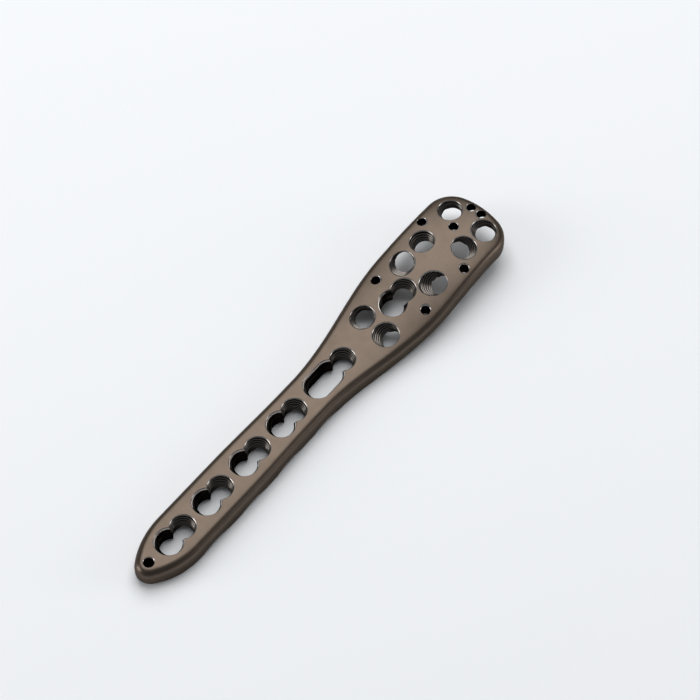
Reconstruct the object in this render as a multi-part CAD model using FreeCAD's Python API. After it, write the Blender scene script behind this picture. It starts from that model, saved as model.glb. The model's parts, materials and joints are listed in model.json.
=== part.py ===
"""Locking bone plate for the upper end of the upper arm bone, as one solid piece.

The plate lies on its underside, as it would on a table. X runs along it from the narrow shaft
end to the broad head, Y runs across it and Z points up, away from the bone.
The origin is at the middle of the bounding box, on the table. All sizes are in millimetres.
"""
import FreeCAD, Part
import math
import os

# Driving sizes of the shaft, with places along the plate measured from its shaft end
shaft_width = 12.0
shaft_thickness = 4.9
nose_radius = 3.1
nose_lift = 0.7
nose_lift_length = 8.0
shoulder_end = 12.5
waist_width = 11.16
waist_start = 29.6
waist_end = 51.6

# Locking holes take a screw's threaded head: a round bore below a gently conical mouth
locking_bore_radius = 2.2
locking_mouth_radius = 2.83
locking_mouth_angle = 18.0
locking_rim_angle = 6.0

# Combination holes join a locking hole to a smooth ball seat for a plain screw
shaft_hole_count = 4
first_hole_x = 13.8
hole_pitch = 12.0
seat_ball_radius = 3.2
seat_offset = 4.38
seat_slot_radius = 2.5
seat_slot_offset = 3.9
long_slot_gap = 16.2
long_slot_travel = 4.0

# Driving sizes of the head, with places along it measured from the long slot's threaded part
head_width = 20.0
head_thickness = 3.3
head_reach = 48.2
head_side_taper = 0.25
flank_start = -10.7
flank_end = 23.3
head_end_radius = 22.0
head_corner_radius = 6.5

# Side view of the head: it climbs away from the bone, then dips again at its end
head_rise = 4.0
rise_start = 1.3
rise_end = 38.0
end_dip_radius = 40.0

# Roundness across the plate, and the rounding of its upper edges
crown_radius = 33.0
shaft_hollow_radius = 45.0
shaft_hollow_depth = 0.3
head_hollow_radius = 30.0
top_edge_radius = 1.8

# Shallow hollows under the shaft, one below each web between two screw holes
relief_radius = 10.0
relief_depth = 0.8

# Locking holes in the head: (along, across, lean along, lean across), where the lean is how far
# the hole wanders sideways for each millimetre that it goes down
head_locking_holes = [
    (10.6, 3.25, 0.41, 0.10),
    (10.4, -3.7, 0.36, -0.24),
    (25.7, 4.5, 0.64, 0.25),
    (26.0, -4.3, 0.71, -0.27),
    (32.2, 4.2, 0.09, -0.18),
    (36.6, -3.9, 0.04, 0.42),
    (42.6, 4.65, 0.22, 0.0),
    (43.2, -4.5, 0.23, 0.07),
]
head_combination_x = 20.5
head_seat_offset = 3.55
head_seat_slot_offset = 3.6

# Small plain holes for wires and stitches: one in the nose, the others in the head, each given
# as (along, across, lean along)
nose_hole_radius = 1.1
wire_hole_radius = 1.0
wire_hole_chamfer = 0.22
wire_holes = [
    (19.2, 6.6, 0.0),
    (20.1, -6.6, 0.0),
    (32.8, -7.1, 0.0),
    (36.3, 7.55, 0.0),
    (39.3, 1.1, 0.1),
    (46.0, 1.5, 0.22),
    (46.0, -1.3, 0.22),
]

# Places that follow from the sizes above
long_slot_x = first_hole_x + (shaft_hole_count - 1) * hole_pitch + long_slot_gap
length = long_slot_x + head_reach
shaft_holes = [first_hole_x + i * hole_pitch for i in range(shaft_hole_count)]
margin = 2.0
station_spacing = 4.0
same_place = 0.001


def smooth_step(x, start, end):
    """Ease from 0 at start to 1 at end, level at both."""
    share = min(max((x - start) / (end - start), 0.0), 1.0)
    return share * share * (3 - 2 * share)


def crest_height(x):
    """Height of the plate's top along its middle line."""
    rise = head_rise * smooth_step(x, long_slot_x + rise_start, long_slot_x + rise_end)
    past = max(x - (long_slot_x + rise_end), 0.0)
    return shaft_thickness + rise - past * past / (2 * end_dip_radius)


def top_height(x, y):
    """Height of the plate's top at any place."""
    return crest_height(x) - crown_radius + math.sqrt(crown_radius * crown_radius - y * y)


def hollow_height(x):
    """Height of the plate's underside along its middle line; it lifts a little at the nose."""
    share = smooth_step(x, long_slot_x + flank_start, long_slot_x + flank_end)
    shaft_middle = shaft_thickness - shaft_hollow_depth
    thickness = shaft_middle + (head_thickness - shaft_middle) * share
    before = max(1 - x / nose_lift_length, 0.0)
    return crest_height(x) - thickness + nose_lift * before * before


def hollow_radius(x):
    """Roundness of the underside across the plate."""
    share = smooth_step(x, long_slot_x + flank_start, long_slot_x + flank_end)
    return shaft_hollow_radius + (head_hollow_radius - shaft_hollow_radius) * share


def arc_across(x, z, radius, reach):
    """Arc across the plate at x, with its top at height z, out to reach on both sides."""
    drop = radius - math.sqrt(radius * radius - reach * reach)
    left = FreeCAD.Vector(x, reach, z - drop)
    right = FreeCAD.Vector(x, -reach, z - drop)
    return Part.Arc(left, FreeCAD.Vector(x, 0, z), right).toShape()


def section_across(x, reach):
    """Closed cross-section at x: crowned top, straight sides, hollow underside."""
    top = arc_across(x, crest_height(x), crown_radius, reach)
    under = arc_across(x, hollow_height(x), hollow_radius(x), reach)
    ends = [(top.Vertexes[i].Point, under.Vertexes[i].Point) for i in (0, 1)]
    sides = [Part.makeLine(upper, lower) for upper, lower in ends]
    return Part.Wire(Part.__sortEdges__([top, sides[0], under, sides[1]]))


def curved_slab():
    """Slab of the plate's thickness and curves, longer and wider than the plate."""
    reach = head_width / 2 + margin
    span = length + 2 * margin
    count = round(span / station_spacing)
    stations = [-margin + span * i / count for i in range(count + 1)]
    return Part.makeLoft([section_across(x, reach) for x in stations], True, False)


def ease(start, end):
    """Edge from start to end that leaves and arrives level, as a Bezier curve."""
    third = (end[0] - start[0]) / 3
    poles = [start, (start[0] + third, start[1]), (end[0] - third, end[1]), end]
    curve = Part.BezierCurve()
    curve.setPoles([FreeCAD.Vector(x, y, 0) for x, y in poles])
    return curve.toShape()


def straight(start, end):
    return Part.makeLine(FreeCAD.Vector(*start, 0), FreeCAD.Vector(*end, 0))


def arc_about(centre, radius, first, last):
    """Arc about centre from angle first to angle last, in radians."""
    points = []
    for angle in (first, (first + last) / 2, last):
        x = centre[0] + radius * math.cos(angle)
        y = centre[1] + radius * math.sin(angle)
        points.append(FreeCAD.Vector(x, y, 0))
    return Part.Arc(*points).toShape()


def half_outline():
    """Edges of the left half of the plate, seen from above, from the nose to the head's end."""
    half = shaft_width / 2
    waist = waist_width / 2
    head = head_width / 2
    flank = (long_slot_x + flank_start, long_slot_x + flank_end)

    # A large shoulder arc runs from the nose's own arc to the straight side
    run = shoulder_end - nose_radius
    shoulder = (run * run + half * half - nose_radius * nose_radius) / (2 * (half - nose_radius))
    shoulder_centre = (shoulder_end, half - shoulder)
    lean = math.atan2(-shoulder_centre[1], -run)
    nose = arc_about((nose_radius, 0), nose_radius, math.pi, lean)
    side = arc_about(shoulder_centre, shoulder, lean, math.pi / 2)

    # The head's corner arc touches its side and its large end arc
    end_centre_x = length - head_end_radius
    corner_y = head - head_side_taper - head_corner_radius
    between = head_end_radius - head_corner_radius
    corner_x = end_centre_x + math.sqrt(between * between - corner_y * corner_y)
    turn = math.atan2(corner_y, corner_x - end_centre_x)
    corner = arc_about((corner_x, corner_y), head_corner_radius, math.pi / 2, turn)
    end = arc_about((end_centre_x, 0), head_end_radius, turn, 0)

    return [
        nose,
        side,
        straight((shoulder_end, half), (waist_start, half)),
        ease((waist_start, half), (waist_end, waist)),
        straight((waist_end, waist), (flank[0], waist)),
        ease((flank[0], waist), (flank[1], head)),
        ease((flank[1], head), (corner_x, head - head_side_taper)),
        corner,
        end,
    ]


def outline():
    """Closed outline of the plate, seen from above."""
    half = half_outline()
    mirror = [edge.mirror(FreeCAD.Vector(), FreeCAD.Vector(0, 1, 0)) for edge in half]
    return Part.Wire(Part.__sortEdges__(half + mirror))


def outline_prism():
    """Upright prism over the plate's outline."""
    height = shaft_thickness + head_rise + margin
    return Part.Face(outline()).extrude(FreeCAD.Vector(0, 0, height))


def upper_edges(shape):
    """Edges round the top, without the upright edges of the sides and those of the underside."""
    found = []
    for edge in shape.Edges:
        first = edge.valueAt(edge.FirstParameter)
        last = edge.valueAt(edge.LastParameter)
        if math.hypot(first.x - last.x, first.y - last.y) < same_place:
            continue
        middle = edge.valueAt((edge.FirstParameter + edge.LastParameter) / 2)
        thickness = crest_height(middle.x) - hollow_height(middle.x)
        if middle.z > top_height(middle.x, middle.y) - thickness / 2:
            found.append(edge)
    return found


def blank():
    """Plate before any hole is made, with its upper edges rounded."""
    body = outline_prism().common(curved_slab()).Solids[0]
    return body.makeFillet(top_edge_radius, upper_edges(body))


def reliefs():
    """Round bars across the underside, one at each web between two holes of the shaft."""
    web_ends = shaft_holes[1:] + [long_slot_x - long_slot_travel]
    bars = []
    for hole, after in zip(shaft_holes, web_ends):
        near = hole + locking_mouth_radius
        far = after - seat_offset - seat_ball_radius
        centre = FreeCAD.Vector((near + far) / 2, -shaft_width, relief_depth - relief_radius)
        bars.append(Part.makeCylinder(relief_radius, 2 * shaft_width, centre, FreeCAD.Vector(0, 1, 0)))
    return bars


def turned(profile, x, y, lean_x, lean_y):
    """Cutter turned from (radius, height) points, with its axis through the top at (x, y)."""
    points = [FreeCAD.Vector(radius, 0, height) for radius, height in profile]
    face = Part.Face(Part.makePolygon(points + points[:1]))
    cutter = face.revolve(FreeCAD.Vector(), FreeCAD.Vector(0, 0, 1), 360)
    axis = FreeCAD.Vector(-lean_x, -lean_y, 1)
    cutter.Placement = FreeCAD.Placement(
        FreeCAD.Vector(x, y, top_height(x, y)),
        FreeCAD.Rotation(FreeCAD.Vector(0, 0, 1), axis),
    )
    return cutter


def locking_hole(x, y, lean_x=0.0, lean_y=0.0):
    """Cutter for a locking hole: bore, conical mouth, then a steeper rim where the top slopes."""
    slope = math.tan(math.radians(locking_mouth_angle))
    mouth_depth = (locking_mouth_radius - locking_bore_radius) / slope
    reach = 2 * shaft_thickness
    rim_radius = locking_mouth_radius + reach / 2 * math.tan(math.radians(locking_rim_angle))
    profile = [
        (0, -reach),
        (locking_bore_radius, -reach),
        (locking_bore_radius, -mouth_depth),
        (locking_mouth_radius, 0),
        (rim_radius, reach / 2),
        (0, reach / 2),
    ]
    return turned(profile, x, y, lean_x, lean_y)


def seat_groove(x, travel):
    """Cutter for the ball seat: a ball, or the path of a ball that travels towards the nose."""
    height = crest_height(x)
    near = FreeCAD.Vector(x, 0, height)
    cutters = [Part.makeSphere(seat_ball_radius, near)]
    if travel:
        far = FreeCAD.Vector(x - travel, 0, height)
        cutters.append(Part.makeSphere(seat_ball_radius, far))
        cutters.append(Part.makeCylinder(seat_ball_radius, travel, far, FreeCAD.Vector(1, 0, 0)))
    return cutters


def seat_slot(x, travel):
    """Cutter for the plain opening below the seat, right through the plate."""
    height = 2 * (shaft_thickness + head_rise)
    near = FreeCAD.Vector(x, 0, -margin)
    cutters = [Part.makeCylinder(seat_slot_radius, height, near)]
    if travel:
        far = FreeCAD.Vector(x - travel, 0, -margin)
        cutters.append(Part.makeCylinder(seat_slot_radius, height, far))
        corner = far - FreeCAD.Vector(0, seat_slot_radius, 0)
        cutters.append(Part.makeBox(travel, 2 * seat_slot_radius, height, corner))
    return cutters


def combination_hole(x, offset, slot_offset, travel=0.0):
    """Cutters for a locking hole at x that opens into a plain seat towards the nose."""
    seat = seat_groove(x - offset, travel)
    slot = seat_slot(x - slot_offset, travel)
    parts = [locking_hole(x, 0)] + seat + slot
    return parts[0].multiFuse(parts[1:])


def wire_hole(x, y, radius, lean_x=0.0):
    """Cutter for a small plain hole with a chamfered rim."""
    reach = 2 * shaft_thickness
    profile = [
        (0, -reach),
        (radius, -reach),
        (radius, -wire_hole_chamfer),
        (radius + wire_hole_chamfer + margin, margin),
        (0, margin),
    ]
    return turned(profile, x, y, lean_x, 0)


def plate():
    """The finished plate, with its origin moved to the middle of its box."""
    cutters = reliefs()
    cutters += [combination_hole(x, seat_offset, seat_slot_offset) for x in shaft_holes]
    cutters.append(combination_hole(long_slot_x, seat_offset, seat_slot_offset, long_slot_travel))
    head_x = long_slot_x + head_combination_x
    cutters.append(combination_hole(head_x, head_seat_offset, head_seat_slot_offset))
    for along, across, lean_x, lean_y in head_locking_holes:
        cutters.append(locking_hole(long_slot_x + along, across, lean_x, lean_y))
    cutters.append(wire_hole(nose_radius, 0, nose_hole_radius))
    for along, across, lean_x in wire_holes:
        cutters.append(wire_hole(long_slot_x + along, across, wire_hole_radius, lean_x))
    body = blank()
    for cutter in cutters:
        body = body.cut(cutter)
    body.translate(FreeCAD.Vector(-length / 2, 0, 0))
    return body.Solids[0]


os.makedirs("parts", exist_ok=True)
bone_plate = plate()
bone_plate.exportStep("parts/bone_plate.step")
print("bone_plate", bone_plate.isValid(), round(bone_plate.Volume, 1), "mm3", bone_plate.BoundBox)
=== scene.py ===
# %% [markdown]
# # A locking bone plate in anodised titanium
#
# This lesson dresses a bone plate that was built as a solid. The real plate is milled from one bar
# of titanium, tumbled until its edges are soft, and then anodised to a brown bronze. A solid's mesh
# has long thin faces round its holes, and threads cut into it would shade badly. So we build the
# plate's skin afresh as an even grid from the same driving sizes, and cut its holes, seats and fine
# threads with shaped cutters. Then it gets finishes made of nodes, a pale table and soft light.

import json
import math
import bmesh
import bpy
import numpy as np
from mathutils import Matrix, Vector


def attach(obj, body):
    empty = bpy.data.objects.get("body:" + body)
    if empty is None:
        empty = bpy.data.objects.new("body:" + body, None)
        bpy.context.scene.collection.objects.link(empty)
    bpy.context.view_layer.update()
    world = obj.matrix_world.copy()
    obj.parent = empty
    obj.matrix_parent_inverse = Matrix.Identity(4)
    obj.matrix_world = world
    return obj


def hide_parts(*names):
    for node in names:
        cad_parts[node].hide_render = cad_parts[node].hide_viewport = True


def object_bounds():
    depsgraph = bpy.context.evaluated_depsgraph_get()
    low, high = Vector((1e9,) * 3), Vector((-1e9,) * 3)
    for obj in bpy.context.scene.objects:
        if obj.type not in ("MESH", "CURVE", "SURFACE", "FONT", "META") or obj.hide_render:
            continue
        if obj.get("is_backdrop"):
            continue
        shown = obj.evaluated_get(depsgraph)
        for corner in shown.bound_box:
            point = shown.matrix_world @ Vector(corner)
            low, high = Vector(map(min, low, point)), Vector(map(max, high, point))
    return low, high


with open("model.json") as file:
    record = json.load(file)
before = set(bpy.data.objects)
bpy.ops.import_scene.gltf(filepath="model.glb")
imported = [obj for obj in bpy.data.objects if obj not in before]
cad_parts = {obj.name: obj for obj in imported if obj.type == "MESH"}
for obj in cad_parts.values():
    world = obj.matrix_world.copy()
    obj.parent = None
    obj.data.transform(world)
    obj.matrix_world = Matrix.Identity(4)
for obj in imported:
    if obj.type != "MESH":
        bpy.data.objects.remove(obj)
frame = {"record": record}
cad_low, cad_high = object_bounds()
record = frame["record"]
MM = 0.001
cad_size = [round((high - low) / MM, 1) for low, high in zip(cad_low, cad_high)]
print("the plate measures", cad_size, "mm")

# %% [markdown]
# ## Where the locking holes are
#
# The record that comes with the solid lists every locking hole: the middle of its round wall, the
# way its axis points, its radius and its length. Typed numbers would go stale. We read the holes
# from there, so that a thread sits in its hole even when somebody changes the plate.

# %% Read the locking holes
holes = [
    {
        "name": mount["name"],
        "middle": np.array(mount["pos_m"], float),
        "axis": np.array(mount["axis"], float),
        "radius": mount["dims"]["r_mm"] * MM,
        "length": mount["dims"]["length_mm"] * MM,
    }
    for mount in record["mounts"]
    if mount["kind"] == "threaded_hole"
]
print(len(holes), "locking holes, of radius", holes[0]["radius"] / MM, "mm")

# %% [markdown]
# ## The camera
#
# The picture looks down on the plate from its shaft end. A long lens keeps the plate's sides
# almost parallel. A camera moved by eye never stands in the same place twice, so three angles and
# a distance say how it is turned, and one known point on the plate's middle line, at the second
# hole, fixes where it stands.

# %% Place the camera
PICTURE_PX = 700
FOCAL_PX = 3146.07
AZIMUTH, ELEVATION, ROLL = (math.radians(a) for a in (-49.473, 59.5, -1.138))
DISTANCE = 656.72 * MM
TARGET = np.array([-36.8, 0.0, 4.9]) * MM
TARGET_PX = (203.113, 505.019)

back = np.array([
    math.sin(AZIMUTH) * math.cos(ELEVATION),
    -math.cos(AZIMUTH) * math.cos(ELEVATION),
    math.sin(ELEVATION),
])
level = np.array([math.cos(AZIMUTH), math.sin(AZIMUTH), 0.0])
upward = np.cross(back, level)
right = math.cos(ROLL) * level + math.sin(ROLL) * upward
up = math.cos(ROLL) * upward - math.sin(ROLL) * level
aside, below = ((px - PICTURE_PX / 2) / FOCAL_PX * DISTANCE for px in TARGET_PX)
place = TARGET - aside * right + below * up + DISTANCE * back

camera_data = bpy.data.cameras.new("camera")
camera_data.sensor_width = 36.0
camera_data.lens = FOCAL_PX / PICTURE_PX * camera_data.sensor_width
camera_data.clip_start = 0.01
camera = bpy.data.objects.new("camera", camera_data)
bpy.context.scene.collection.objects.link(camera)
turn = Matrix([[right[i], up[i], back[i]] for i in range(3)]).to_4x4()
camera.matrix_world = Matrix.Translation(Vector(place)) @ turn
bpy.context.scene.camera = camera
print("the lens is", round(camera_data.lens, 1), "mm")

# %% [markdown]
# ## Three helpers
#
# The first turns arrays into a mesh object, and merges the doubled points that a grid has at its
# seams. The second starts a material. The third makes a shader node and fills in its sockets, so
# that a material reads as a list of what it is made of.

# %% Helpers for pieces and materials
def new_piece(name, points, faces, kinds=None):
    """A smooth mesh object from points and faces; kinds may give each face's material number."""
    mesh = bpy.data.meshes.new(name)
    mesh.from_pydata(points.tolist(), [], faces)
    if kinds is not None:
        mesh.polygons.foreach_set("material_index", kinds)
    shape = bmesh.new()
    shape.from_mesh(mesh)
    bmesh.ops.remove_doubles(shape, verts=shape.verts, dist=1e-7)
    bmesh.ops.dissolve_degenerate(shape, edges=shape.edges, dist=1e-7)
    bmesh.ops.recalc_face_normals(shape, faces=shape.faces)
    shape.to_mesh(mesh)
    shape.free()
    mesh.polygons.foreach_set("use_smooth", [True] * len(mesh.polygons))
    piece = bpy.data.objects.new(name, mesh)
    bpy.context.scene.collection.objects.link(piece)
    return piece


def new_material(name):
    """An empty node material: its tree and its Principled shader."""
    material = bpy.data.materials.new(name)
    material.use_nodes = True
    return material, material.node_tree, material.node_tree.nodes["Principled BSDF"]


def add(tree, kind, sockets=None, **settings):
    """A shader node with its settings, and values or links for its numbered or named inputs."""
    made = tree.nodes.new(kind)
    for key, value in settings.items():
        setattr(made, key, value)
    for key, value in (sockets or {}).items():
        if isinstance(value, bpy.types.NodeSocket):
            tree.links.new(value, made.inputs[key])
        else:
            made.inputs[key].default_value = value
    return made


print("helpers:", new_piece.__name__, new_material.__name__, add.__name__)

# %% [markdown]
# ## The anodised finish
#
# Anodising grows a thin clear oxide on titanium, and its thickness gives the colour. The plate is
# tumbled first, so its skin is satin and a little cloudy, with a very fine grain. A plain colour
# would look like plastic, so noise mixes two close colours, and a finer noise changes the gloss and
# the bump. All patterns read Object coordinates, in metres, so they keep their real scale.
#
# The walls of the seats and bores are painted much darker than the skin, as painted shade for the
# shaded hollows, while thread crests and rims are painted lighter, as painted highlights. So one
# recipe makes five finishes: skin, seats, bores, crests and rims. The glancing value dims what a
# face mirrors when it is seen almost edge on. It keeps the side of the plate as dark as the real
# one's.

# %% Anodised titanium
CLOUD_SCALE, GRAIN_SCALE = 420.0, 5200.0
GRAIN_GLOSS = (-0.05, 0.06)
GRAIN_STRENGTH, GRAIN_HEIGHT = 0.25, 0.004 * MM


def titanium(name, colour, cloud_colour, roughness, glancing):
    """Satin metal: two close colours mixed by soft noise, with grain in roughness and bump."""
    material, tree, shader = new_material(name)
    place = add(tree, "ShaderNodeTexCoord").outputs["Object"]
    clouds = add(tree, "ShaderNodeTexNoise", {"Vector": place, "Scale": CLOUD_SCALE, "Detail": 6.0})
    grain = add(tree, "ShaderNodeTexNoise", {"Vector": place, "Scale": GRAIN_SCALE, "Detail": 2.0})
    mixed = add(tree, "ShaderNodeMix", {0: clouds.outputs["Fac"], 6: colour, 7: cloud_colour},
                data_type="RGBA")
    tree.links.new(mixed.outputs[2], shader.inputs["Base Color"])
    duller, shinier = roughness + GRAIN_GLOSS[1], roughness + GRAIN_GLOSS[0]
    satin = add(tree, "ShaderNodeMapRange", {
        "Value": grain.outputs["Fac"], "To Min": shinier, "To Max": duller,
    })
    tree.links.new(satin.outputs["Result"], shader.inputs["Roughness"])
    bump = add(tree, "ShaderNodeBump", {
        "Height": grain.outputs["Fac"], "Strength": GRAIN_STRENGTH, "Distance": GRAIN_HEIGHT,
    })
    tree.links.new(bump.outputs["Normal"], shader.inputs["Normal"])
    shader.inputs["Metallic"].default_value = 1.0
    shader.inputs["Specular Tint"].default_value = (glancing, glancing, glancing, 1)
    return material


skin = titanium("satin_titanium", (0.091, 0.070, 0.054, 1), (0.124, 0.097, 0.078, 1), 0.36, 0.5)
# Seat walls: painted shade, far darker than the skin, for the shaded hollow of each seat
seat_painted_shade = titanium("seat_painted_shade_titanium", (0.040, 0.034, 0.030, 1), (0.055, 0.047, 0.042, 1), 0.20, 0.6)
# Hole walls and thread grooves: painted shade, near black, for the shade inside bores, slots and
# wire holes
bore_painted_shade = titanium("bore_painted_shade_titanium", (0.013, 0.011, 0.010, 1), (0.020, 0.017, 0.015, 1), 0.42, 0.3)
# Thread crests: painted glint, much lighter than the skin, for silvery glints on the thread flanks
crest_painted_glint = titanium("thread_crest_painted_glint", (0.15, 0.134, 0.12, 1), (0.19, 0.172, 0.158, 1), 0.30, 0.7)
# Rims: painted highlight, far lighter than the skin, so that each rounded rim shows as a bright
# line
rim_painted_highlight = titanium("rim_painted_highlight_titanium", (0.42, 0.385, 0.36, 1), (0.48, 0.445, 0.42, 1), 0.25, 1.0)
print("finishes:", [finish.name for finish in (skin, seat_painted_shade, bore_painted_shade, crest_painted_glint, rim_painted_highlight)])

# %% [markdown]
# ## The form of the plate
#
# The plate's own sizes, as a maker would give them. Seen from above, the plate is a long outline of
# arcs and easy curves, the same on both sides of its middle line. Seen from the side, the shaft is
# level and the head climbs away from the bone, then dips at its end. Across, the top is a little
# crowned and the underside hollow. Both could be sculpted by hand, but a formula for each height
# keeps them true to the solid.

# %% Driving sizes, in millimetres
SHAFT_WIDTH, WAIST_WIDTH, HEAD_WIDTH = 12.0, 11.16, 20.0
NOSE_RADIUS, SHOULDER_END = 3.1, 12.5
WAIST_START, WAIST_END = 29.6, 51.6
LONG_SLOT_X = 66.0
FLANK_START, FLANK_END = LONG_SLOT_X - 10.7, LONG_SLOT_X + 23.3
LENGTH = 114.2
HEAD_END_RADIUS, HEAD_CORNER_RADIUS, HEAD_SIDE_TAPER = 22.0, 6.5, 0.25
SHAFT_THICKNESS, SHAFT_HOLLOW, HEAD_THICKNESS = 4.9, 0.3, 3.3
NOSE_LIFT, NOSE_LIFT_LENGTH = 0.7, 8.0
RISE, RISE_START, RISE_END, DIP_RADIUS = 4.0, LONG_SLOT_X + 1.3, LONG_SLOT_X + 38.0, 40.0
CROWN_RADIUS, SHAFT_HOLLOW_RADIUS, HEAD_HOLLOW_RADIUS = 33.0, 45.0, 30.0
TOP_ROUNDING, UNDER_ROUNDING = 1.8, 0.25
RELIEF_RADIUS, RELIEF_DEPTH, RELIEF_BLEND = 10.0, 0.8, 0.12
print("the plate is", LENGTH, "mm long and", HEAD_WIDTH, "mm wide")

# %% Heights of the top and the underside
def smooth_step(x, start, end):
    """Ease from 0 at start to 1 at end: 3 s s - 2 s s s, where s is the share of the way."""
    share = np.clip((x - start) / (end - start), 0, 1)
    return share * share * (3 - 2 * share)


def crest(x):
    """Height of the middle line: shaft, plus an eased rise, less a parabola past the rise."""
    past = np.maximum(x - RISE_END, 0)
    climb = RISE * smooth_step(x, RISE_START, RISE_END)
    return SHAFT_THICKNESS + climb - past ** 2 / (2 * DIP_RADIUS)


def top(x, y):
    """Height of the top: the crest, less the fall of a circle of the crown's radius."""
    return crest(x) - CROWN_RADIUS + np.sqrt(CROWN_RADIUS ** 2 - y ** 2)


def underside(x, y, webs):
    """Height of the underside: a hollow circle across, blended with one round bar per web.

    Where it would fall below the table it is flat, so that the shaft rests on its two edges.
    """
    share = smooth_step(x, FLANK_START, FLANK_END)
    shaft = SHAFT_THICKNESS - SHAFT_HOLLOW
    lift = NOSE_LIFT * np.maximum(1 - x / NOSE_LIFT_LENGTH, 0) ** 2
    radius = SHAFT_HOLLOW_RADIUS + (HEAD_HOLLOW_RADIUS - SHAFT_HOLLOW_RADIUS) * share
    height = crest(x) - shaft - (HEAD_THICKNESS - shaft) * share + lift
    height = height - radius + np.sqrt(radius ** 2 - y ** 2)
    for web in webs:
        off = np.clip(x - web, -RELIEF_RADIUS, RELIEF_RADIUS)
        bar = RELIEF_DEPTH - RELIEF_RADIUS + np.sqrt(RELIEF_RADIUS ** 2 - off ** 2)
        near = np.maximum(RELIEF_BLEND - np.abs(height - bar), 0)
        height = np.maximum(height, bar) + near ** 2 / (4 * RELIEF_BLEND)
    return np.maximum(height, 0)


print("the crest is", round(float(crest(RISE_END)), 2), "mm high where the head's climb ends")

# %% [markdown]
# ## The outline
#
# One half of the outline runs from the tip of the nose to the middle of the head's end. It could
# be a curve object, but its points would crowd where it bends. So it is sampled finely as arcs and
# eased lines, then resampled at even steps along its length, and the mesh gets even faces. The
# other half is its mirror image.

# %% The outline from above
def arc(centre, radius, first, last, count=160):
    """Points on a circle: centre + radius (cos a, sin a), for angles from first to last."""
    angle = np.linspace(first, last, count)
    return np.stack([centre[0] + radius * np.cos(angle), centre[1] + radius * np.sin(angle)], -1)


def eased_line(start, end, count=160):
    """Points whose y eases from the start's to the end's as x runs evenly between them."""
    x = np.linspace(start[0], end[0], count)
    return np.stack([x, start[1] + (end[1] - start[1]) * smooth_step(x, start[0], end[0])], -1)


def half_outline(step):
    """Points at even steps along the left half of the outline."""
    half, waist, head = SHAFT_WIDTH / 2, WAIST_WIDTH / 2, HEAD_WIDTH / 2
    run = SHOULDER_END - NOSE_RADIUS
    shoulder = (run ** 2 + half ** 2 - NOSE_RADIUS ** 2) / (2 * (half - NOSE_RADIUS))
    lean = math.atan2(shoulder - half, -run)
    corner_y = head - HEAD_SIDE_TAPER - HEAD_CORNER_RADIUS
    between = HEAD_END_RADIUS - HEAD_CORNER_RADIUS
    corner_x = LENGTH - HEAD_END_RADIUS + math.sqrt(between ** 2 - corner_y ** 2)
    turn = math.atan2(corner_y, corner_x - LENGTH + HEAD_END_RADIUS)
    fine = np.vstack([
        arc((NOSE_RADIUS, 0), NOSE_RADIUS, math.pi, lean),
        arc((SHOULDER_END, half - shoulder), shoulder, lean, math.pi / 2),
        eased_line((SHOULDER_END, half), (WAIST_START, half)),
        eased_line((WAIST_START, half), (WAIST_END, waist)),
        eased_line((WAIST_END, waist), (FLANK_START, waist)),
        eased_line((FLANK_START, waist), (FLANK_END, head)),
        eased_line((FLANK_END, head), (corner_x, head - HEAD_SIDE_TAPER)),
        arc((corner_x, corner_y), HEAD_CORNER_RADIUS, math.pi / 2, turn),
        arc((LENGTH - HEAD_END_RADIUS, 0), HEAD_END_RADIUS, turn, 0),
    ])
    along = np.concatenate([[0], np.cumsum(np.hypot(*np.diff(fine, axis=0).T))])
    even = np.linspace(0, along[-1], round(along[-1] / step) + 1)
    return np.stack([np.interp(even, along, fine[:, i]) for i in (0, 1)], -1)


OUTLINE_STEP = 0.35
left = half_outline(OUTLINE_STEP)
right_side = left[-2:0:-1] * (1, -1)
rim = np.vstack([left, right_side])
ahead = np.roll(rim, -1, axis=0) - np.roll(rim, 1, axis=0)
ahead /= np.linalg.norm(ahead, axis=1)[:, None]
inward = np.stack([ahead[:, 1], -ahead[:, 0]], -1)
print(len(rim), "points round the outline")

# %% [markdown]
# ## The blank
#
# The blank is the plate before any hole is made. A subdivided box would pull away from the true
# sizes, so it is one surface on a grid: one parameter runs round the outline, and the other runs
# from the middle of the top, over the rounded edge and down the side, to the middle of the
# underside. The rounded edge is the path of a ball that touches both the side and the sloping top.

# %% Move the outline inwards
# The rows close on a spine along the middle line, which stops short of both ends
SPINE_START, SPINE_END = NOSE_RADIUS, LENGTH - 8.0
FIELD_STEPS = 14


def inset(distance):
    """The outline moved inwards by a distance, which may differ from point to point."""
    return rim + inward * np.asarray(distance)[..., None]


def field(border):
    """Rows from the spine out to a border: (1 - s) spine + s border, for even shares s."""
    spine = np.stack([np.clip(border[:, 0], SPINE_START, SPINE_END), 0 * border[:, 1]], -1)
    share = np.linspace(0, 1, FIELD_STEPS + 1)[:-1, None, None]
    return (1 - share) * spine + share * border


print("the spine is", round(SPINE_END - SPINE_START, 1), "mm long")

# %% The blank as rows of points
EDGE_STEPS, WALL_STEPS, UNDER_STEPS = 8, 4, 4
SLOPE_PROBE = 0.1


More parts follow.
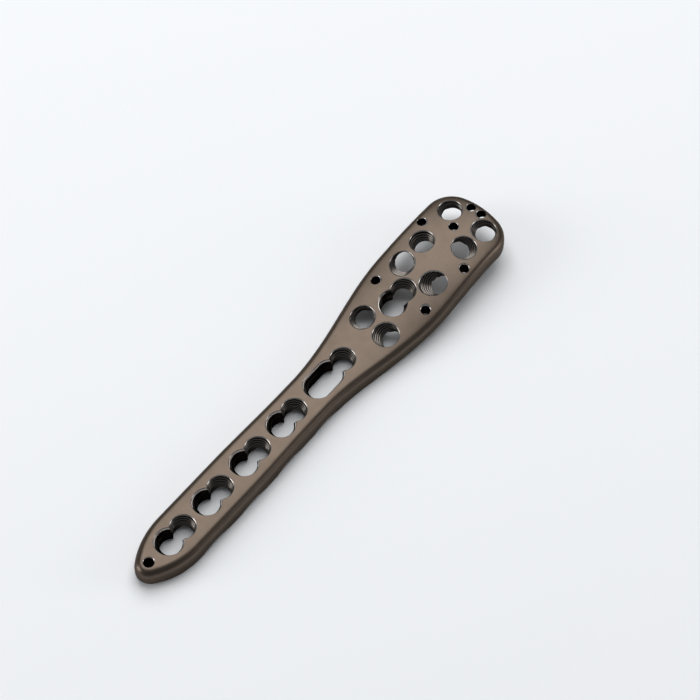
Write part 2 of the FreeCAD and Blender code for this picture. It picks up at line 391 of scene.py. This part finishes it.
def rows_of_blank(webs):
    """Rows from the middle of the top to the middle of the underside.

    Edge: the ball's centre + radius * sin(a) up and radius * cos(a) out, where a falls to 0. Wall:
    (1 - s) centre + s low. Its foot: the underside + r (1 - sin t), moved inwards by r (1 - cos t).
    """
    radius = TOP_ROUNDING
    slope = np.zeros(len(rim))
    # The slope is read where the ball touches the top, which depends on the slope
    for _ in range(3):
        touch = radius * (1 - np.sin(slope))
        near, far = inset(touch - SLOPE_PROBE), inset(touch + SLOPE_PROBE)
        slope = np.arctan((top(*far.T) - top(*near.T)) / (2 * SLOPE_PROBE))
    touch = radius * (1 - np.sin(slope))
    centre = top(*inset(touch).T) - radius * np.cos(slope)

    def lifted(plan, height):
        return np.concatenate([plan, height[..., None]], -1)

    over = field(inset(touch))
    angle = np.linspace(1, 0, EDGE_STEPS + 1)[:, None] * (math.pi / 2 - slope)
    edge = inset(radius * (1 - np.cos(angle)))
    low = underside(*rim.T, webs) + UNDER_ROUNDING
    share = np.linspace(0, 1, WALL_STEPS + 1)[1:, None]
    wall = np.repeat(rim[None], WALL_STEPS, 0)
    turn = np.linspace(0, math.pi / 2, UNDER_STEPS + 1)[1:, None]
    soft = inset(UNDER_ROUNDING * (1 - np.cos(turn)) * np.ones(len(rim)))
    soft_height = underside(soft[..., 0], soft[..., 1], webs) + UNDER_ROUNDING * (1 - np.sin(turn))
    below = field(inset(np.full(len(rim), UNDER_ROUNDING)))[::-1]
    return np.concatenate([
        lifted(over, top(over[..., 0], over[..., 1])),
        lifted(edge, centre + radius * np.sin(angle)),
        lifted(wall, centre * (1 - share) + low * share),
        lifted(soft, soft_height),
        lifted(below, underside(below[..., 0], below[..., 1], webs)),
    ])


print("its edge, side and foot take", EDGE_STEPS + WALL_STEPS + UNDER_STEPS, "steps")

# %% Rows become a piece
# The shapes count from the tip of the nose, and the scene from the middle of the plate
NOSE_TO_MIDDLE = np.array([LENGTH / 2, 0, 0])


def grid_piece(name, rows, caps=()):
    """A closed mesh from rows of points that each run in a ring, with a point over each end."""
    count, ring_length = rows.shape[:2]
    index = np.arange(count * ring_length).reshape(count, ring_length)
    after = np.roll(index, -1, axis=1)
    faces = np.stack([index[:-1], index[1:], after[1:], after[:-1]], -1).reshape(-1, 4).tolist()
    points = rows.reshape(-1, 3)
    for ring, cap in zip((index[0], index[-1]), caps):
        faces += [(a, b, len(points)) for a, b in zip(ring.tolist(), np.roll(ring, -1).tolist())]
        points = np.vstack([points, cap])
    return new_piece(name, (points - NOSE_TO_MIDDLE) * MM, faces)


print("the scene's middle is", NOSE_TO_MIDDLE[0], "mm behind the nose")

# %% Make the blank
# The offsets are how far a ball seat and its slot lie towards the nose from the threaded part
SEAT_BALL_OFFSET, SEAT_SLOT_OFFSET = 4.38, 3.9
HEAD_BALL_OFFSET, HEAD_SLOT_OFFSET = 3.55, 3.6
SEAT_BALL_RADIUS, SEAT_SLOT_RADIUS, LONG_TRAVEL = 3.2, 2.5, 4.0
MOUTH_RADIUS = 2.83
shaft_x = sorted(h["middle"][0] / MM + LENGTH / 2 for h in holes if h["name"].startswith("shaft"))
seat_starts = [x - SEAT_BALL_OFFSET - SEAT_BALL_RADIUS for x in shaft_x[1:]]
seat_starts.append(LONG_SLOT_X - LONG_TRAVEL - SEAT_BALL_OFFSET - SEAT_BALL_RADIUS)
webs = [(x + MOUTH_RADIUS + end) / 2 for x, end in zip(shaft_x, seat_starts)]
plate = grid_piece("threaded_plate", rows_of_blank(webs))
plate.data.materials.append(skin)
blank = plate.copy()
blank.data = plate.data.copy()
print("the blank has", len(plate.data.polygons), "faces, and webs at", np.round(webs, 2))

# %% [markdown]
# ## Threads
#
# A locking hole holds the screw's threaded head, so its wall carries a fine thread. On the real
# plate a tap cuts it, and it runs out just below the rim. Bump could fake it, but the edge where a
# thread meets a plain seat would stay smooth. So the tap is a surface on a grid: one parameter is
# the angle as it winds up the hole, and the other steps across one turn. The upper edge of each
# ridge is painted far lighter than the groove, a painted glint, and the groove near black, painted
# shade.

# %% The cone of a locking hole
MOUTH_SLOPE = math.tan(math.radians(18))
RIM_SLOPE = math.tan(math.radians(6))


def wall_radius(height, bore):
    """Radius at a height over the plate's top: the bore, then the mouth's cone, then the rim's."""
    mouth = MOUTH_RADIUS + height * MOUTH_SLOPE
    rim = MOUTH_RADIUS + height * RIM_SLOPE
    return np.maximum(bore, np.where(height > 0, rim, mouth))


def hole_frame(hole):
    """A locking hole in plate millimetres: the point on the top, axis, bore and whole depth."""
    bore = hole["radius"] / MM
    mouth_depth = (MOUTH_RADIUS - bore) / MOUTH_SLOPE
    axis = hole["axis"]
    above = hole["length"] / MM / 2 + mouth_depth
    centre = hole["middle"] / MM + above * axis + NOSE_TO_MIDDLE
    return centre, axis, bore, hole["length"] / MM + mouth_depth


def around(axis, angle):
    """Directions square to an axis: cos(angle) a + sin(angle) b, where a and b span the circle."""
    side = np.cross([0.0, 1.0, 0.0], axis)
    side /= np.linalg.norm(side)
    return np.cos(angle) * side + np.sin(angle) * np.cross(axis, side)


mouth_depths = [hole_frame(hole)[3] - hole["length"] / MM for hole in holes]
print("the cones are up to", round(max(mouth_depths), 2), "mm deep")

# %% Shape of the tap
PITCH = 0.6
GROOVE_DEPTH = 0.26
STEPS_ROUND = 64
# How far the tap reaches past both ends of its hole, so that it cuts right through
OVERRUN = 3.0
# The groove begins this far below the top, and reaches its full depth over the second length
THREAD_START, THREAD_RUN_OUT = 0.3, 0.25
# Shares of one turn at which the ridge, its strip of painted glint, the slope and the groove's bed
# begin, and how deep the groove is there as a share of its depth
GROOVE_SHARES = np.array([0.0, 0.14, 0.3, 0.5, 0.7])
GROOVE_SHAPE = np.array([0.0, 0.0, 0.42, 1.0, 1.0])


def tap(hole):
    """A tap: height = pitch * (turns + share), and radius = wall + depth * groove shape."""
    centre, axis, bore, deep = hole_frame(hole)
    low, high = -(deep + OVERRUN), OVERRUN
    count = (int((high - low) / PITCH) + 3) * STEPS_ROUND + 1
    turns = np.arange(count)[:, None] / STEPS_ROUND
    height = np.clip(low + PITCH * (turns - 1 + GROOVE_SHARES), low, high)
    outward = around(axis, 2 * math.pi * turns[..., None])
    points = centre + height[..., None] * axis + wall_radius(height, bore)[..., None] * outward
    depth = top(points[..., 0], points[..., 1]) - points[..., 2]
    fade = np.clip((depth - THREAD_START) / THREAD_RUN_OUT, 0, 1) * (height > low)
    points = (points + (GROOVE_DEPTH * GROOVE_SHAPE * fade)[..., None] * outward).reshape(-1, 3)
    index = np.arange(len(points)).reshape(count, -1)
    across = np.stack([index[:-1, :-1], index[1:, :-1], index[1:, 1:], index[:-1, 1:]], -1)
    under, over = index[:-STEPS_ROUND, -1], index[STEPS_ROUND:, 0]
    between = np.stack([under[:-1], under[1:], over[1:], over[:-1]], -1)
    foot, head = len(points), len(points) + 1
    points = np.vstack([points, centre + low * axis, centre + high * axis])
    first, last = index[:STEPS_ROUND + 1, 0].tolist(), index[-STEPS_ROUND - 1:, -1].tolist()
    ends = [(b, a, foot) for a, b in zip(first[:-1], first[1:])]
    ends += [(a, b, head) for a, b in zip(last[:-1], last[1:])]
    faces = across.reshape(-1, 4).tolist() + between.tolist() + ends
    kinds = np.zeros(len(faces), np.int32)
    # The second strip of each turn takes the second material, the lighter one of the painted glint
    glint_strip = kinds[:across[..., 0].size].reshape(across.shape[:2])
    glint_strip[:, 1] = 1
    return new_piece("tap", (points - NOSE_TO_MIDDLE) * MM, faces, kinds)


print("a locking hole has", round(holes[0]["length"] / MM / PITCH), "turns of thread")

# %% [markdown]
# ## Rounded rims
#
# Tumbling rounds every rim a little. That thin round catches the light, and its far lighter finish,
# a painted highlight, makes it a bright line. A Bevel would have to find its way along cut edges on
# a
# curved top, so a cutter makes the round: a ring-shaped surface that follows the top. One parameter
# goes round the hole, and the other goes up a quarter circle, from just inside the wall to the top.

# %% The round of a rim
RIM_ROUNDING, WIRE_RIM_ROUNDING = 0.24, 0.30
RIM_ANGLES = np.radians([0, 12, 30, 48, 64])
# A rim's cutter starts inside the hole, and its round keeps a hair off the wall. Both its ends
# reach well past the round, by these multiples of its size.
RIM_INSIDE, RIM_HAIR = 0.05, 0.004
RIM_REACH_DOWN, RIM_REACH_UP = 3, 6


def rim_rows(wall_at, bore_centre, size):
    """Wall at depth size (1 - sin a), moved outwards by size (1 - cos a), for rising angles a.

    wall_at(depth) gives the wall's points at a depth below the top.
    """
    deep, level = wall_at(RIM_REACH_DOWN * size), wall_at(0)
    out = level - bore_centre(level)
    out[:, 2] = 0
    out /= np.linalg.norm(out, axis=1)[:, None]
    rows = [deep - RIM_INSIDE * out]
    for angle in RIM_ANGLES:
        outwards = size * (1 - np.cos(angle)) - RIM_HAIR
        rows.append(wall_at(size * (1 - np.sin(angle))) + outwards * out)
    rise, run = math.cos(RIM_ANGLES[-1]), math.sin(RIM_ANGLES[-1])
    rows.append(rows[-1] + RIM_REACH_UP * size * (run * out + rise * np.array([0, 0, 1.0])))
    return np.array(rows)


def rim_cutter(wall_at, bore_centre, size):
    """A closed ring of rim rows, with a lid and a floor at its middle."""
    rows = rim_rows(wall_at, bore_centre, size)
    return grid_piece("rim", rows, (rows[0].mean(0), rows[-1].mean(0)))


print("rims are rounded by", RIM_ROUNDING, "and", WIRE_RIM_ROUNDING, "mm")

# %% Rims of leaning holes
EVEN_ANGLES = np.arange(STEPS_ROUND)[:, None] * 2 * math.pi / STEPS_ROUND
# Each pass leaves a small share of the error in height, so a dozen passes settle it
SETTLING_PASSES = 12


def leaning_rim(centre, axis, radius_at, size):
    """The rim of a leaning hole: each wall point slides along the axis until it has its depth."""
    outward = around(axis, EVEN_ANGLES)

    def wall_at(depth):
        height = np.zeros(STEPS_ROUND)
        for _ in range(SETTLING_PASSES):
            points = centre + height[:, None] * axis + radius_at(height)[:, None] * outward
            height += (top(points[:, 0], points[:, 1]) - depth - points[:, 2]) / axis[2]
        return points

    return rim_cutter(wall_at, lambda level: level.mean(0), size)


def locking_rim(hole):
    """The rim of a locking hole, which starts from the hole's own cone."""
    centre, axis, bore, _ = hole_frame(hole)
    return leaning_rim(centre, axis, lambda height: wall_radius(height, bore), RIM_ROUNDING)


print("a rim has", STEPS_ROUND, "points round it")

# %% Plain seats and their rims
def track(x, y, travel):
    """Directions round a hole, and the centre that each starts from: one, or two with travel."""
    angle = (np.arange(STEPS_ROUND) + 0.5) * 2 * math.pi / STEPS_ROUND
    outward = np.stack([np.cos(angle), np.sin(angle), 0 * angle], -1)
    start = np.array([x, y, 0.0]) - np.where(outward[:, :1] < 0, travel, 0) * [1.0, 0, 0]
    return outward, start


def turned_cutter(name, x, y, profile, travel=0.0):
    """A profile of (radius, height) carried round one centre, or round the track of a slot."""
    outward, start = track(x, y, travel)
    rows = np.array([start + radius * outward + [0, 0, height] for radius, height in profile])
    return grid_piece(name, rows, (rows[0].mean(0), rows[-1].mean(0)))


def plain_rim(x, y, radius, travel=0.0):
    """The rim of an upright hole: start + radius * outward, at each depth below the top."""
    outward, start = track(x, y, travel)

    def wall_at(depth):
        points = start + radius * outward
        points[:, 2] = top(points[:, 0], points[:, 1]) - depth
        return points

    return rim_cutter(wall_at, lambda level: start, RIM_ROUNDING)


# The ball's lowest row is a small ring, because a ring of no size can't be capped
NEAR_POLE, BALL_STEPS = 89.5, 16


def ball_profile(height):
    """A ball's lower half: radius R cos a, height h - R sin a; straight up above its middle."""
    angle = np.linspace(math.radians(NEAR_POLE), 0, BALL_STEPS + 1)
    radius, drop = SEAT_BALL_RADIUS * np.cos(angle), SEAT_BALL_RADIUS * np.sin(angle)
    return list(zip(radius, height - drop)) + [(SEAT_BALL_RADIUS, height + 1)]


print("a ball seat is", 2 * SEAT_BALL_RADIUS, "mm wide and its slot", 2 * SEAT_SLOT_RADIUS, "mm")

# %% [markdown]
# ## Cutting the holes
#
# On the real plate each hole is milled, and the same order works here. Each cutter is taken away
# from the blank with a Boolean, and the faces that it leaves keep the cutter's material, so every
# wall has its own finish. The plain part of a combination hole is a ball seat over a narrower slot,
# set towards the nose from the threaded part.

# %% One cut
SOLVER = "MANIFOLD"


def cut_away(piece, cutter, *materials):
    """Take the cutter out of the piece for good, and remove the cutter."""
    for material in materials:
        cutter.data.materials.append(material)
    modifier = piece.modifiers.new("cut", "BOOLEAN")
    modifier.operation = "DIFFERENCE"
    modifier.solver = SOLVER
    modifier.material_mode = "TRANSFER"
    modifier.object = cutter
    graph = bpy.context.evaluated_depsgraph_get()
    cut = bpy.data.meshes.new_from_object(piece.evaluated_get(graph))
    if len(cut.vertices) == len(piece.data.vertices):
        print("nothing was cut by the", cutter.name)
    piece.modifiers.clear()
    piece.data = cut
    bpy.data.objects.remove(cutter)


print("the cuts use the solver", SOLVER)

# %% Seats and wire holes
# A seat's rim starts a hair inside its wall
SEAT_HAIR = 0.01


def plain_seat(x, ball_offset, slot_offset, travel=0.0):
    """Cut a ball seat, the slot below it and the seat's rim."""
    ball_x, slot_x = x - ball_offset, x - slot_offset
    height = float(crest(ball_x))
    # The ball seat's wall takes the painted shade of the seat finish
    cut_away(plate, turned_cutter("ball", ball_x, 0, ball_profile(height), travel), seat_painted_shade)
    through = [(SEAT_SLOT_RADIUS, -1.0), (SEAT_SLOT_RADIUS, height)]
    # The slot's wall takes the near-black painted shade of the bore finish
    cut_away(plate, turned_cutter("slot", slot_x, 0, through, travel), bore_painted_shade)
    # The seat's rim takes the lighter finish of the painted highlight
    cut_away(plate, plain_rim(ball_x, 0, SEAT_BALL_RADIUS - SEAT_HAIR, travel), rim_painted_highlight)


def wire_hole(x, y, radius, lean):
    """Cut a ring carried along a leaning axis: centre + radius * outward + height * axis."""
    centre = np.array([x, y, float(top(x, y))])
    axis = np.array([-lean, 0.0, 1.0]) / math.hypot(lean, 1.0)
    ring = centre + radius * around(axis, EVEN_ANGLES)
    rows = np.array([ring - 2 * SHAFT_THICKNESS * axis, ring + axis])
    # The drilled wall takes the near-black painted shade of the bore finish
    cut_away(plate, grid_piece("drill", rows, (rows[0].mean(0), rows[1].mean(0))), bore_painted_shade)

    def straight(height):
        return np.full(len(height), radius)

    # The wire hole's rim takes the lighter finish of the painted highlight
    cut_away(plate, leaning_rim(centre, axis, straight, WIRE_RIM_ROUNDING), rim_painted_highlight)


NOSE_HOLE = (NOSE_RADIUS, 0.0, 1.1, 0.0)
WIRE_RADIUS = 1.0
# Place along the head, place across it, and lean along it
WIRE_PLACES = [(19.2, 6.6, 0), (20.1, -6.6, 0), (32.8, -7.1, 0), (36.3, 7.55, 0), (39.3, 1.1, 0.1),
               (46.0, 1.5, 0.22), (46.0, -1.3, 0.22)]
print(1 + len(WIRE_PLACES), "wire holes")

# %% Cut them all
CREASE_ANGLE = 25

for hole in holes:
    # The tap's grooves take the near-black painted shade, and the upper edges of its ridges the
    # painted glint
    cut_away(plate, tap(hole), bore_painted_shade, crest_painted_glint)
for x in shaft_x:
    plain_seat(x, SEAT_BALL_OFFSET, SEAT_SLOT_OFFSET)
plain_seat(LONG_SLOT_X, SEAT_BALL_OFFSET, SEAT_SLOT_OFFSET, LONG_TRAVEL)
head_combination = next(h for h in holes if h["name"].startswith("head_combination"))
plain_seat(head_combination["middle"][0] / MM + LENGTH / 2, HEAD_BALL_OFFSET, HEAD_SLOT_OFFSET)
wire_hole(*NOSE_HOLE)
for x, y, lean in WIRE_PLACES:
    wire_hole(LONG_SLOT_X + x, y, WIRE_RADIUS, lean)
for hole in holes:
    # The locking holes' rims take the lighter finish of the painted highlight
    cut_away(plate, locking_rim(hole), rim_painted_highlight)
plate.data.polygons.foreach_set("use_smooth", [True] * len(plate.data.polygons))
plate.data.set_sharp_from_angle(angle=math.radians(CREASE_ANGLE))
print("with its holes, the plate has", len(plate.data.polygons), "faces")

# %% [markdown]
# ## Clean shading
#
# A cut leaves long thin faces round each hole, and their averaged directions would show as smudges
# on the satin skin. A much finer mesh would hide them, but make a heavy file. So the skin borrows
# its shading directions from a copy of the uncut blank, and the edges between the skin and a cut
# stay crisp.

# %% Read a mesh as arrays
def corner_directions(mesh):
    """The shading direction at every corner of every face, as one array."""
    found = np.empty(len(mesh.loops) * 3, np.float32)
    mesh.corner_normals.foreach_get("vector", found)
    return found.reshape(-1, 3)


def read(things, name):
    """One whole number of every face, edge or corner."""
    found = np.empty(len(things), np.int32)
    things.foreach_get(name, found)
    return found


print("the plate has", len(corner_directions(plate.data)), "corners")

# %% Shade the skin like the blank
modifier = plate.modifiers.new("shading", "DATA_TRANSFER")
modifier.object = blank
modifier.use_loop_data = True
modifier.data_types_loops = {"CUSTOM_NORMAL"}
modifier.loop_mapping = "POLYINTERP_NEAREST"
shaded = plate.evaluated_get(bpy.context.evaluated_depsgraph_get()).data
borrowed = corner_directions(shaded)
plate.modifiers.clear()
kind, sides = read(plate.data.polygons, "material_index"), read(plate.data.polygons, "loop_total")
on_skin = np.repeat(kind == plate.data.materials.find(skin.name), sides)
# An edge between the skin and a cut has one corner of the skin, and is kept crisp
corners_at_edge = np.bincount(read(plate.data.loops, "edge_index"), on_skin, len(plate.data.edges))
crisp = (corners_at_edge == 1) | (read(plate.data.edges, "use_edge_sharp") > 0)
plate.data.edges.foreach_set("use_edge_sharp", crisp)
plate.data.update()
own = corner_directions(plate.data)
plate.data.normals_split_custom_set(np.where(on_skin[:, None], borrowed, own).tolist())
bpy.data.objects.remove(blank)
print(int(on_skin.sum()), "corners on the skin")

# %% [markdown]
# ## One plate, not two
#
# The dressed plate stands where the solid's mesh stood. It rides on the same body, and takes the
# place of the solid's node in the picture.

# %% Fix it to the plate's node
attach(plate, "root")
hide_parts("bone_plate")
plate.data.calc_loop_triangles()
print("the threaded plate has", len(plate.data.loop_triangles), "triangles")

# %% [markdown]
# ## The table
#
# The plate lies on a plain pale sheet of paper. One flat square is enough, because it fills the
# picture and its edge is never seen. Its height is that of the plate's lowest point, so that the
# shadow touches the plate.

# %% Table
TABLE_SIZE = 3.0
TABLE_HEIGHT = cad_low[2]
PAPER_COLOUR, PAPER_ROUGHNESS = (0.90, 0.915, 0.935, 1), 0.9
corners = np.array([[-1, -1, 0], [1, -1, 0], [1, 1, 0], [-1, 1, 0]]) * TABLE_SIZE / 2
corners[:, 2] = TABLE_HEIGHT
table = new_piece("table", corners, [(0, 1, 2, 3)])
paper, tree, shader = new_material("paper")
shader.inputs["Base Color"].default_value = PAPER_COLOUR
shader.inputs["Roughness"].default_value = PAPER_ROUGHNESS
table.data.materials.append(paper)
table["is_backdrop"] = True
print("the table is", TABLE_SIZE, "m wide")

# %% [markdown]
# ## Light
#
# Metal shows what it mirrors, and a bare lamp would give one hot spot on black. So the light comes
# from soft panels. The key is a broad one overhead, about where the level top mirrors it towards
# the camera, and it also throws the soft shadow. Two small ones, low at the left and at the right,
# catch the rims and the flanks of the threads. A pale surround lifts the shadows.

# %% Lights
SURROUND_COLOUR, SURROUND_STRENGTH = (0.94, 0.97, 1.0, 1), 0.205


def panel(name, place, size, power):
    """A square soft light that faces the middle of the plate."""
    lamp = bpy.data.lights.new(name, "AREA")
    lamp.size = size
    lamp.energy = power
    light = bpy.data.objects.new(name, lamp)
    bpy.context.scene.collection.objects.link(light)
    light.location = place
    light.rotation_euler = (-Vector(place)).to_track_quat("-Z", "Y").to_euler()


panel("key", (0.39, 0.34, 0.97), 1.15, 11.5)
panel("left", (-0.68, 0.64, 0.34), 0.5, 3.4)
panel("right", (0.62, -0.74, 0.28), 0.35, 1.6)

world = bpy.data.worlds.new("surround")
bpy.context.scene.world = world
world.use_nodes = True
surround = world.node_tree.nodes["Background"]
surround.inputs["Color"].default_value = SURROUND_COLOUR
surround.inputs["Strength"].default_value = SURROUND_STRENGTH
bpy.context.scene.view_settings.view_transform = "Standard"
print(len(bpy.data.lights), "panels of light")

# %% [markdown]
# ## The size of the dressed plate
#
# The dressed plate should measure what the solid does. Both boxes are printed.

# %% Finish
new_low, new_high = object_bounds()
new_size = [round((high - low) / MM, 2) for low, high in zip(new_low, new_high)]
print("the dressed plate measures", new_size, "mm")
